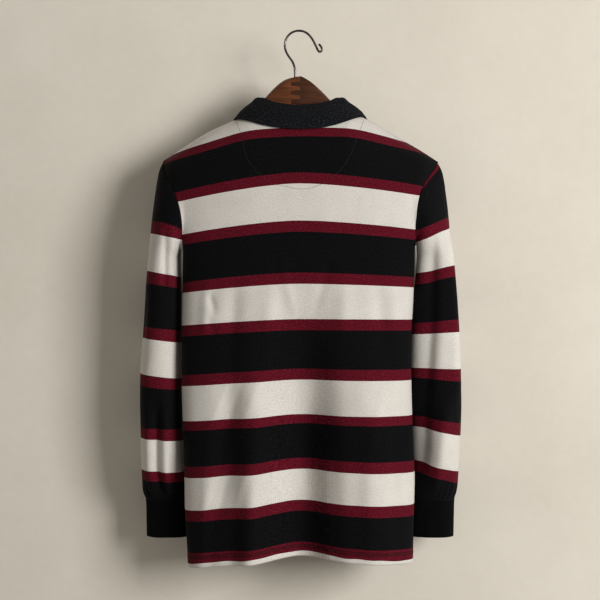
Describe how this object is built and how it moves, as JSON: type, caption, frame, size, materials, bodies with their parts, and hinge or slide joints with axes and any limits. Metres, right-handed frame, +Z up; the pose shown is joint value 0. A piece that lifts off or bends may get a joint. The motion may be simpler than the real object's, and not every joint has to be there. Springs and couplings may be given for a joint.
{
  "type": "striped polo shirt",
  "caption": "Long-sleeved striped polo shirt with knitted collar and cuffs, buttoned and hanging open at hem and cuffs on a contoured wooden hanger with a wire hook.",
  "frame": {"origin": "where the inside of the hook's crook bears on a rod", "axes": "+Z up, -Y towards the shirt's buttoned front, +X towards the wearer's left"},
  "size_m": [0.5405, 0.168, 0.8899],
  "materials": {
    "striped_jersey": "brushed cotton jersey with woven-in bands of cream, burgundy and black",
    "rib_knit": "dense black knitted rib",
    "collar_knit": "fine matt charcoal knit",
    "placket_band": "matt charcoal cotton",
    "button": "satin dark plastic",
    "light_wood": "satin stained wood, the lighter half",
    "dark_wood": "satin stained wood, the darker half",
    "wire": "drawn steel wire"
  },
  "bodies": {
    "root": {"back_panel": "striped_jersey", "front_panel": "striped_jersey", "sleeve_left": "striped_jersey", "sleeve_right": "striped_jersey", "cuff_left": "rib_knit", "cuff_right": "rib_knit", "collar": "collar_knit", "placket_upper": "placket_band", "placket_under": "placket_band", "button_top": "button", "button_middle": "button", "button_low": "button", "hanger_left": "light_wood", "hanger_right": "dark_wood", "hook": "wire"}
  },
  "joints": []
}
